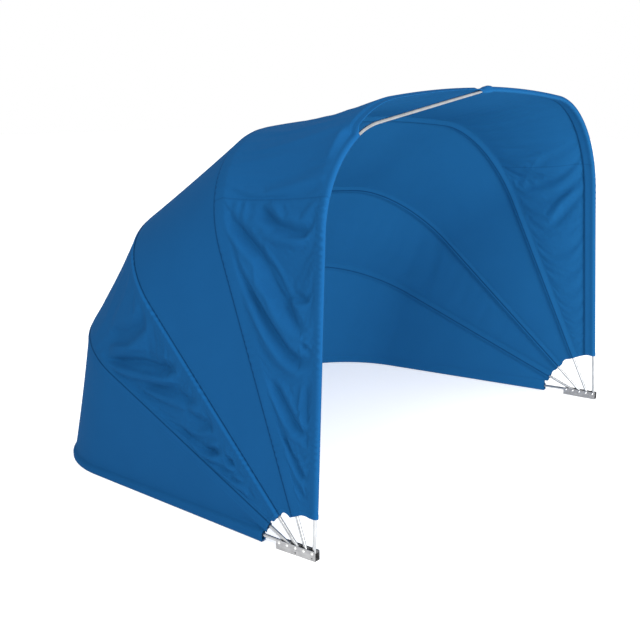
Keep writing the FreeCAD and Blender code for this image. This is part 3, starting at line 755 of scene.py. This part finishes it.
class Panel:
    # one panel of cloth between two hoops, from its front edge to its rear edge

    def __init__(self, values):
        self.values = values
        self.front = values["front"]
        self.rear = self.front + 1
        self.frontRows = edgeValues[values["frontEdge"]]
        self.rearRows = edgeValues[values["rearEdge"]]
        self.ways = bothHalves(bottomColumns(values["cell"], values["seam"]))
        crown = np.linalg.norm(outline.point(self.front, outline.middle)
                               - outline.point(self.rear, outline.middle))
        self.width = crown - self.frontRows[-1][0] + self.rearRows[0][0]
        middleRows = 2 * round(self.width / values["cell"] / 2)
        self.shares = np.linspace(0, 1, middleRows + 1)

    def warped(self, way, share):
        # the columns start at the bottom hem and follow the shoulder seam, which rises to the rear
        near = halfWay(way)
        rise = bottomValues["arch"][self.front] * arched(share) - hoopValues["bareLeg"]
        for side, chosen in (("left", way <= outline.middle), ("right", way > outline.middle)):
            bare = bottomValues[side]
            rise = rise + chosen * (bare[self.front] * (1 - share) + bare[self.rear] * share)
        rise = rise * (1 - smoothStep(0, bottomValues["reach"], near - hoopValues["bareLeg"]))
        if self.values["seam"]:
            weight = 1 - smoothStep(0, seamValues["reach"], np.abs(near - seamFront))
            rise = rise + (seamRear - seamFront) * share * weight
        return way + np.where(way > outline.middle, -1.0, 1.0) * rise

    def edgeLines(self, way):
        # where the free cloth between the hoops starts and ends
        return (outline.point(self.front, way, *self.frontRows[-1][::-1]),
                outline.point(self.rear, way, *self.rearRows[0][::-1]))

    def widthTable(self):
        ways = np.linspace(hoopValues["bareLeg"], 2 * outline.middle - hoopValues["bareLeg"], 200)
        frontLine, rearLine = self.edgeLines(ways)
        return ways, np.linalg.norm(rearLine - frontLine, axis=-1)

    def middle(self, ways, shares):
        # the free cloth before its folds: straight across, drawn in a little
        share = shares[:, None]
        way = self.warped(ways[None, :], share)
        frontLine, rearLine = self.edgeLines(way)
        grid = frontLine + (rearLine - frontLine) * share[..., None]
        corner = (outline.bendEnd + hoopValues["legLength"]) / 2
        bent = np.exp(-((halfWay(way) - corner) / sagValues["reach"]) ** 2)
        weight = sagValues["least"] + (1 - sagValues["least"]) * bent
        inward = sagValues["depth"] * arched(share) * weight
        if self.front == 0:
            inward = inward - looseDrop(way, self.frontRows[-1][0] + share * self.width)
        return grid - normalsOf(grid) * inward[..., None]

    def folded(self, ways, shares, grid):
        # the same with its folds and gathers pressed in
        widths = self.widthTable()
        width = np.interp(ways, *widths)[None, :]
        across = shares[:, None] * width
        rise = foldField(ways[None, :], across, widths, self.values["folds"])
        gaps = dict(front=across, rear=width - across)
        ease, clear = gatherValues["ease"], gatherValues["clear"]
        for gather in self.values["gathers"]:
            gap = gaps[gather["edge"]]
            low, high = gather["between"]
            shown = window((low - ease, low + ease), (high - ease, high + ease), ways)
            run = ways[None, :] + gather["skew"] * gap
            rise += gather["depth"] * ripple(run, gather["length"], gather["seed"]) \
                * shown * np.exp(-gap / gather["reach"]) * smoothStep(0, clear, gap)
        if self.values["seam"]:
            rise += self.hanging(ways, across)
        for gap in gaps.values():
            rise *= smoothStep(0, gatherValues["foldClear"], gap)
        return grid + normalsOf(grid) * rise[..., None]

    def hanging(self, ways, across):
        # gathers below the shoulder seam, weaker on the right
        values = seamGathers
        below = seamFront - halfWay(ways)[None, :]
        size = np.exp(-below / values["reach"]) * smoothStep(0, values["clear"], below)
        side = np.where(ways > outline.middle, values["right"], 1.0)
        run = across + values["skew"] * below
        return values["depth"] * ripple(run, values["length"], values["seed"]) * size * side

    def simulated(self):
        # how far each point of an even grid moves from the unfolded cloth
        values = self.values
        cell = values["simCell"]
        start, end = self.ways[0], self.ways[-1]
        self.simWays = np.linspace(start, end, round((end - start) / cell) + 1)
        self.simShares = np.linspace(0, 1, round(self.width / cell) + 1)
        plain = self.middle(self.simWays, self.simShares)
        seeded = self.folded(self.simWays, self.simShares, plain)
        if not values["sim"]:
            return seeded - plain
        held = np.zeros(plain.shape[:2], bool)
        held[0] = held[-1] = True
        if self.front == 0:
            widths = np.interp(self.simWays, *self.widthTable())
            band = pocketWidth(self.simWays) - self.frontRows[-1][0]
            held |= self.simShares[:, None] * widths[None, :] < band[None, :]
        return settle(seeded, held, values["sim"]) - plain

    def build(self):
        # the cloth's middle surface, row by row from its front edge to its rear edge
        moved = self.simulated()
        readWays = sampler((self.ways - self.simWays[0]) / (self.simWays[-1] - self.simWays[0]),
                           len(self.simWays))
        readShares = sampler(self.shares, len(self.simShares))
        shift = np.einsum("ij,jkc,lk->ilc", readShares, moved, readWays)
        right = smoothStep(0, rightReach, self.ways - outline.middle)
        roof = smoothStep(*self.values["roof"], halfWay(self.ways))
        eased = (1 - (1 - self.values["rightFolds"]) * right) \
            * (1 - (1 - self.values["roofFolds"]) * roof)
        grid = self.middle(self.ways, self.shares) + shift * eased[None, :, None]
        frontPlaces = [row[0] for row in self.frontRows[:-1]]
        rearPlaces = [row[0] for row in self.rearRows[1:]]
        parts = [self.edgeRows(self.front, self.frontRows[:-1], 0), grid,
                 self.edgeRows(self.rear, self.rearRows[1:], 1)]
        if self.front == 0:
            turned, turnedPlaces = self.turnedRows()
            parts.insert(0, turned)
            frontPlaces = turnedPlaces + frontPlaces
            outside = sum(out >= 0 for behind, out in edgeValues["turned"])
            self.insideCount = len(turned) - outside
        self.grid = np.concatenate(parts)
        self.split = len(frontPlaces) + len(self.shares) // 2
        # how far behind its front and its rear hoop each row lies
        self.behind = dict(
            front=np.concatenate([frontPlaces, self.frontRows[-1][0] + self.shares * self.width,
                                  [farAway] * len(rearPlaces)]),
            rear=np.concatenate([[farAway] * len(frontPlaces),
                                 self.rearRows[0][0] - (1 - self.shares) * self.width, rearPlaces]))
        self.finish()

    def edgeRows(self, hoop, rows, share):
        # the strip of cloth that wraps over a hoop's sleeve
        way = self.warped(self.ways, share)
        uneven = ripple(way, stripValues["length"], stripValues["seed"]) \
            * (1 - smoothStep(*stripValues["ends"], way))
        lines = []
        for behind, out in rows:
            if hoop == 0:
                filled = filledPocket(way)
                out = out * filled + pocketValues["layerGap"] / 2 * (1 - filled) + couplerRise(way)
                out = out + looseDrop(way, behind) + pucker(way)
            strip = self.values["strip"] * uneven * smoothStep(*stripValues["rises"], out)
            lines.append(outline.point(hoop, way, out + strip, behind))
        return np.stack(lines)

    def turnedRows(self):
        # the front hem: the cloth turns round the tube and comes back inside
        way = self.warped(self.ways, 0)
        width, filled = pocketWidth(way), filledPocket(way)
        layer = pocketValues["layerGap"] / 2 * (1 - filled)
        lines, places = [], []
        for part, out in edgeValues["inner"]:
            behind = np.maximum(width * part, pocketValues["narrowest"])
            shift = looseDrop(way, behind) - layer
            lines.append(outline.point(0, way, out * filled + shift, behind))
            places.append(pocketValues["rightWidth"] * part)
        for behind, out in edgeValues["turned"]:
            shift = (layer + couplerRise(way)) * np.sign(out) + looseDrop(way, 0.0)
            shift = shift + pucker(way) * smoothStep(0, pocketValues["puckers"], out)
            lines.append(outline.point(0, way, out * filled + shift, behind))
            places.append(behind)
        return np.stack(lines), places

    def finish(self):
        # thickness, stitching, seam shadows and shading of every point
        grid, values = self.grid, self.values
        shape = grid.shape[:2]
        self.normals = normalsOf(grid)
        nearWay = halfWay(self.ways)
        fromBottom = np.broadcast_to(nearWay - hoopValues["bareLeg"], shape)
        thick = np.where(fromBottom < hemValues["width"], hemValues["thick"], hemValues["thin"])
        steps = np.linalg.norm(np.diff(grid, axis=0), axis=-1)
        across = np.concatenate([np.zeros((1, shape[1])), np.cumsum(steps, axis=0)])
        along = np.broadcast_to(self.ways, shape)
        self.cut = np.stack([along, across], -1)

        # how far each point is from each line of stitches, and which way that line runs
        stitchLines = [(np.abs(self.behind[edge] - place)[:, None], along)
                       for edge, place in values["stitchRows"]]
        # the same for the shadows along edges and seams, with their width and darkness
        shadows = [((self.behind[edge] - place)[:, None], shadowValues["width"], dark)
                   for edge, place, dark in values["paintedShadeLines"]]
        inside = np.zeros(shape)
        if self.front == 0:
            gap = self.behind["front"][:, None] - pocketWidth(self.ways)[None, :]
            stitchLines.append((np.abs(gap + pocketValues["stitch"]), along))
            right = smoothStep(0, shadowValues["rightReach"], self.ways - outline.middle)
            dark = shadowValues["pocketDark"] + shadowValues["rightDark"] * right
            shadows.append((gap, shadowValues["pocketWidth"], dark))
            # the turned rows of the hem that face inwards take the painted fill light
            inside[:self.insideCount] = 1
        if values["seam"]:
            above = (nearWay - seamFront)[None, :]
            lapped = window(seamValues["laps"], seamValues["ends"], above)
            thick = thick + seamValues["rise"] * lapped
            stitchLines.append((np.abs(above - seamValues["stitch"]), across))
            shadows.append((above, seamValues["darkWidth"], seamValues["dark"]))
        stitch, run = np.abs(fromBottom - hemValues["stitch"]), across
        for gap, way in stitchLines:
            run = np.where(gap < stitch, way, run)
            stitch = np.minimum(stitch, gap)
        # painted shade: the darkest of the shadow lines at each point
        paintedShade = np.zeros(shape)
        for gap, width, dark in shadows:
            paintedShade = np.maximum(paintedShade, dark * np.exp(-(gap / width) ** 2))
        if self.front == 0:
            first = self.insideCount - creaseValues["rows"]
            shade = 1 - smoothStep(*creaseValues["ends"], self.ways - outline.middle)
            paintedShade[first:self.insideCount] = creaseValues["dark"] * shade
        # a painted highlight along the crest just behind the front hoop of the third panel, uneven
        # along it
        place, width, light = values["paintedHighlight"]
        uneven = ripple(self.ways, highlightValues["length"], highlightValues["seed"])
        uneven = 1 - highlightValues["swing"] + highlightValues["swing"] * uneven
        paintedHighlight = light * np.exp(-((self.behind["front"] - place) / width) ** 2)[:, None] * uneven
        self.layers = dict(paintedShade=paintedShade, stitch=stitch, run=run, paintedHighlight=paintedHighlight, inside=inside)
        half = self.normals * thick[..., None] / 2
        self.outer, self.inner = grid + half, grid - half
        for hoop, share, edge, amount in zip((self.front, self.rear), (0, 1), ("front", "rear"),
                                             values["calm"]):
            flat = outline.outwards(hoop, self.warped(self.ways, share))
            near = amount * (1 - smoothStep(*calmReach, np.abs(self.behind[edge])))
            self.normals = calmed(self.normals, flat[None], near[:, None, None])

    def pieces(self, node, columns, joint):
        # the fore half rides on the hoop in front and the aft half on the one behind
        self.piece(f"{node}_fore", (0, self.split + 1), columns, self.front, joint, node)
        self.piece(f"{node}_aft", (self.split, len(self.grid)), columns, self.rear, joint, node)

    def piece(self, name, rows, columns, hoop, joint, node):
        area = (slice(*rows), slice(*columns))
        layers = {layer: values[area] for layer, values in self.layers.items()}
        made = shell(name, self.outer[area], self.inner[area], self.normals[area], layers,
                     self.cut[area])
        declare(made, node, hoop)


def join(made, node, hoop):
    # the made piece stands for a node of the part and moves with a hoop
    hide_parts(node)
    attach(made, f"{hoopNames[hoop]}_hoop")


def declare(made, node, hoop):
    # the same as join, and the piece gets a mesh of its own
    join(made, node, hoop)
    outline.pivot(hoop)
    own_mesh(made)


def fold(width, depth, *path):
    # path: up from the left pivot in metres, and share of the panel's width, front to rear
    return dict(width=width, depth=depth, path=path)


# a panel that hangs smooth, and what a creased one has instead
smoothPanel = dict(cell=0.011, simCell=0.022, seam=False, sim=None, strip=0.0, folds=[],
                   paintedHighlight=(0.0, 0.010, 0.0), rightFolds=1.0, roofFolds=1.0, roof=(1.1, 1.3))
creasedPanel = dict(smoothPanel, cell=0.0065, simCell=0.0125, sim=looseCloth)

frontPanel = Panel(dict(
    creasedPanel, front=0, frontEdge="pocket", rearEdge="covers", seam=True, strip=0.0020,
    stitchRows=[("rear", 0.0)], paintedShadeLines=[("rear", 0.0134, 1.0), ("rear", 0.0126, 0.8)],
    calm=(0.5, 2.5), rightFolds=0.9, roofFolds=0.3, roof=(1.05, 1.25),
    gathers=[
        dict(edge="front", between=(0.2, 1.15), depth=0.0030, length=0.031, reach=0.030,
             skew=0.6, seed=0.3),
        dict(edge="front", between=(3.2, 4.0), depth=0.0008, length=0.05, reach=0.030,
             skew=0.6, seed=1.3),
        dict(edge="rear", between=(0.3, 1.1), depth=0.0012, length=0.034, reach=0.022,
             skew=-0.4, seed=2.1),
    ],
    folds=[
        fold(0.016, 0.016, (1.05, 0.66), (1.02, 0.60), (0.98, 0.46), (0.96, 0.24), (0.95, 0.02)),
        fold(0.016, 0.017, (1.02, 0.97), (0.96, 0.83), (0.90, 0.68), (0.82, 0.56), (0.75, 0.42),
             (0.69, 0.28), (0.64, 0.12)),
        fold(0.015, 0.017, (0.84, 0.95), (0.76, 0.77), (0.68, 0.66), (0.61, 0.49), (0.57, 0.28),
             (0.56, 0.06)),
        fold(0.013, 0.013, (0.53, 0.94), (0.49, 0.79), (0.44, 0.66), (0.40, 0.51), (0.36, 0.32),
             (0.32, 0.15)),
        fold(0.010, 0.013, (0.37, 0.88), (0.29, 0.75), (0.24, 0.56), (0.20, 0.30)),
        fold(0.008, 0.008, (0.30, 0.96), (0.23, 0.84), (0.18, 0.66), (0.14, 0.46)),
        fold(0.009, 0.004, (1.04, 0.42), (1.00, 0.34)),
        fold(0.011, 0.009, (0.79, 0.38), (0.77, 0.23), (0.76, 0.08)),
        fold(0.008, 0.007, (0.63, 0.21), (0.61, 0.05)),
        fold(0.010, 0.008, (0.53, 0.16), (0.30, 0.12)),
        # under the roof
        fold(0.018, 0.008, (1.32, 0.14), (1.63, 0.20), (1.98, 0.13)),
        fold(0.020, 0.008, (1.36, 0.34), (1.73, 0.42), (2.08, 0.30)),
        fold(0.020, 0.008, (2.60, 0.10), (2.64, 0.50), (2.72, 0.88)),
        fold(0.018, 0.007, (2.78, 0.22), (2.79, 0.60), (2.83, 0.92)),
        fold(0.018, 0.006, (2.89, 0.25), (2.91, 0.60), (2.91, 0.92)),
        fold(0.016, 0.007, (3.31, 0.14), (3.38, 0.42), (3.47, 0.68)),
        fold(0.016, 0.005, (3.10, 0.40), (3.25, 0.75), (3.35, 0.93)),
    ],
))
frontPanel.build()
seamColumn = int(np.argmin(np.abs(frontPanel.ways - seamFront)))
lastColumn = len(frontPanel.ways)
columnRanges = dict(
    front_left_gusset=(0, seamColumn + 1),
    front_roof=(seamColumn, lastColumn - seamColumn),
    front_right_gusset=(lastColumn - seamColumn - 1, lastColumn),
)
for node, columns in columnRanges.items():
    frontPanel.pieces(node, columns, "front_fold")

secondPanel = Panel(dict(
    smoothPanel, front=1, frontEdge="under", rearEdge="meets",
    stitchRows=[("rear", -0.0170)], paintedShadeLines=[("front", 0.0143, 1.0)], calm=(2.5, 1.0),
    gathers=[
        dict(edge="front", between=(0.2, 1.2), depth=0.0007, length=0.060, reach=0.03,
             skew=0.3, seed=0.6),
        dict(edge="rear", between=(0.95, 1.35), depth=0.0012, length=0.033, reach=0.016,
             skew=0.5, seed=1.1),
    ],
))
secondPanel.build()
secondPanel.pieces("second_panel", (0, len(secondPanel.ways)), "front_fold")

thirdPanel = Panel(dict(
    creasedPanel, front=2, frontEdge="over", rearEdge="meets", strip=0.0018,
    stitchRows=[("front", 0.0180), ("rear", -0.0170)],
    # the painted highlight lies on the crest just behind the third hoop
    paintedShadeLines=[("front", -0.0128, 0.9)], paintedHighlight=(-0.002, 0.007, 0.7),
    calm=(0.3, 2.5), rightFolds=0.25, roofFolds=0.3, roof=(0.96, 1.16),
    gathers=[
        dict(edge="front", between=(0.55, 1.25), depth=0.0034, length=0.040, reach=0.030,
             skew=0.9, seed=0.9),
        dict(edge="rear", between=(0.3, 1.1), depth=0.0014, length=0.052, reach=0.026,
             skew=-0.5, seed=1.7),
    ],
    folds=[
        fold(0.026, 0.016, (1.07, 0.71), (0.99, 0.45), (0.95, 0.24), (0.92, 0.02)),
        fold(0.018, 0.020, (1.01, 0.97), (0.94, 0.76), (0.85, 0.49), (0.77, 0.29), (0.69, 0.06)),
        fold(0.015, 0.014, (0.82, 0.75), (0.76, 0.61), (0.67, 0.37), (0.60, 0.23), (0.55, 0.05)),
        fold(0.012, 0.011, (0.62, 0.45), (0.55, 0.37), (0.49, 0.19), (0.45, 0.12)),
        fold(0.013, 0.010, (0.59, 0.87), (0.51, 0.82), (0.45, 0.68), (0.39, 0.47)),
        fold(0.011, 0.009, (0.46, 0.76), (0.41, 0.57), (0.35, 0.33), (0.32, 0.16)),
        fold(0.010, 0.008, (0.43, 0.94), (0.38, 0.86), (0.32, 0.59), (0.29, 0.43)),
        fold(0.009, 0.008, (0.43, 0.32), (0.35, 0.26), (0.27, 0.22), (0.20, 0.22)),
        fold(0.008, 0.007, (0.33, 0.84), (0.28, 0.60), (0.24, 0.46), (0.18, 0.42)),
        fold(0.030, 0.003, (1.32, 0.25), (1.65, 0.40), (1.98, 0.35)),
    ],
))
thirdPanel.build()
thirdPanel.pieces("third_panel", (0, len(thirdPanel.ways)), "front_fold")

fourthPanel = Panel(dict(
    smoothPanel, front=3, frontEdge="over", rearEdge="hem", strip=0.0004,
    stitchRows=[("front", 0.0180), ("front", 0.0280), ("rear", -0.0200)],
    paintedShadeLines=[("front", -0.0128, 0.7)], calm=(2.5, 2.5),
    gathers=[
        dict(edge="front", between=(0.3, 1.25), depth=0.0006, length=0.05, reach=0.03,
             skew=0.3, seed=0.2),
        dict(edge="rear", between=(0.9, 1.3), depth=0.0008, length=0.045, reach=0.025,
             skew=0.3, seed=0.5),
    ],
))
fourthPanel.build()
fourthPanel.pieces("fourth_panel", (0, len(fourthPanel.ways)), "rear_lift")
print("panels are in")


# cloth sleeves round the hoops

sleeveValues = dict(radius=0.0080, rearRadius=0.0077, wall=0.0007, sides=20, step=0.006,
                    gather=0.00035, waver=0.043, wander=0.006, lobes=3, seed=0.5, seedStep=0.8,
                    inside=0.002, pastCoupler=0.031)


def makeSleeve(name, hoop, line):
    # line: points across and up in the hoop's plane
    values = sleeveValues
    radius = values["rearRadius"] if hoop == rearHoop else values["radius"]
    steps = np.linalg.norm(np.diff(line, axis=0), axis=1)
    along = np.concatenate([[0], np.cumsum(steps)])
    places = np.linspace(0, along[-1], round(along[-1] / values["step"]) + 1)
    x, up = (np.interp(places, along, line[:, column]) for column in (0, 1))
    run = unit(np.stack([np.gradient(x), np.gradient(up)], -1))
    turns = np.arange(values["sides"]) * 2 * math.pi / values["sides"]
    wander = values["wander"] * np.cos(values["lobes"] * turns)[:, None]
    seed = values["seedStep"] * hoop + values["seed"]
    ripples = values["gather"] * ripple(places + wander, values["waver"], seed)
    if hoop == rearHoop:
        ripples = -np.abs(ripples)
    rings = []
    for inset in (0.0, values["wall"]):
        size = radius - inset + ripples
        out = size * np.cos(turns)[:, None]
        behind = size * np.sin(turns)[:, None]
        if hoop == rearHoop:
            behind = outline.toFloor(x, up, behind)
        rings.append(outline.lift(hoop, x - run[:, 1] * out, up + run[:, 0] * out, behind))
    index = np.arange(len(turns) * len(places)).reshape(len(turns), len(places))
    ends = [index[::-1, 0], index[:, -1]]
    cut = np.stack(np.broadcast_arrays(places, (turns * radius)[:, None]), -1)
    made = makeSheet(f"{name}_cloth", *rings, gridFaces(*index.shape, wrapped=True), ends,
                     sleeveCloth, {}, cut)
    join(made, name, hoop)


def hoopLine(start, end, count=700):
    x, up = outline.trace(np.linspace(start, end, count))[:2]
    return np.stack([x, up], -1)


def sleeveEnds(hoop):
    inside = sleeveValues["inside"]
    return (bottomValues["left"][hoop] + inside,
            2 * outline.middle - bottomValues["right"][hoop] - inside)


bottom, top = sleeveEnds(0)
legStart = np.linalg.norm(loose - loose[0], axis=1) >= bottom
covered = loose[legStart & (loose[:, 0] <= -looseValues["bareCrown"])]
makeSleeve("front_left_sleeve", 0, covered)
crownStart = outline.middle + sleeveValues["pastCoupler"]
makeSleeve("front_right_sleeve", 0, hoopLine(crownStart, top))
for hoop in range(1, rearHoop + 1):
    makeSleeve(f"{hoopNames[hoop]}_sleeve", hoop, hoopLine(*sleeveEnds(hoop)))
print("sleeves are in")


# strips of cloth sewn inside over the tubes

facingValues = dict(
    # profiles: (behind the tube, outwards); seams: each hoop's shadows, (behind, darkness)
    middle=[(-0.0225, 0.0046), (-0.0190, 0.0040), (-0.0150, 0.0018), (-0.0115, -0.0014),
            (-0.0085, -0.0046), (-0.0050, -0.0074), (-0.0018, -0.0086), (0.0, -0.0087),
            (0.0018, -0.0086), (0.0050, -0.0074), (0.0085, -0.0046), (0.0115, -0.0014),
            (0.0150, 0.0018), (0.0190, 0.0040), (0.0225, 0.0046)],
    rear=[(-0.0285, -0.0048), (-0.0230, -0.0051), (-0.0170, -0.0055), (-0.0120, -0.0061),
          (-0.0080, -0.0069), (-0.0040, -0.0081), (0.0, -0.0087), (0.0035, -0.0088),
          (0.0070, -0.0086)],
    seams=[[], [(0.0, 1.0)], [(-0.0050, 1.0), (0.0050, 0.45)], [(0.0, 1.0)], []],
    thick=0.0007, step=0.012, calm=3.0, seamWidth=0.0018,
)


def makeFacing(hoop, values):
    profile = values["rear" if hoop == rearHoop else "middle"]
    start, end = sleeveEnds(hoop)
    ways = np.linspace(start, end, round((end - start) / values["step"]) + 1)
    grid = np.stack([outline.point(hoop, ways, out, behind) for behind, out in profile])
    normals = normalsOf(grid)
    half = normals * values["thick"] / 2
    shade = calmed(normals, outline.outwards(hoop, ways)[None], values["calm"])
    behind = np.array([place for place, out in profile])[:, None] + 0 * ways
    steps = np.linalg.norm(np.diff(grid, axis=0), axis=-1)
    across = np.concatenate([0 * ways[None], np.cumsum(steps, axis=0)])
    along = np.broadcast_to(ways, behind.shape)
    # painted shade along each seam of the facing
    paintedShade = 0 * behind
    for place, dark in values["seams"][hoop]:
        paintedShade = np.maximum(paintedShade, dark * np.exp(-((behind - place) / values["seamWidth"]) ** 2))
    # the facing lies inside, so it takes the painted fill light
    layers = dict(paintedShade=paintedShade, stitch=0 * behind + 1, run=along, paintedHighlight=0 * behind,
                  inside=0 * behind + 1)
    cut = np.stack([along, across], -1)
    name = hoopNames[hoop]
    made = shell(f"{name}_facing", grid + half, grid - half, shade, layers, cut)
    declare(made, f"{name}_sleeve", hoop)


for hoop in range(1, rearHoop + 1):
    makeFacing(hoop, facingValues)
print("facings are in")
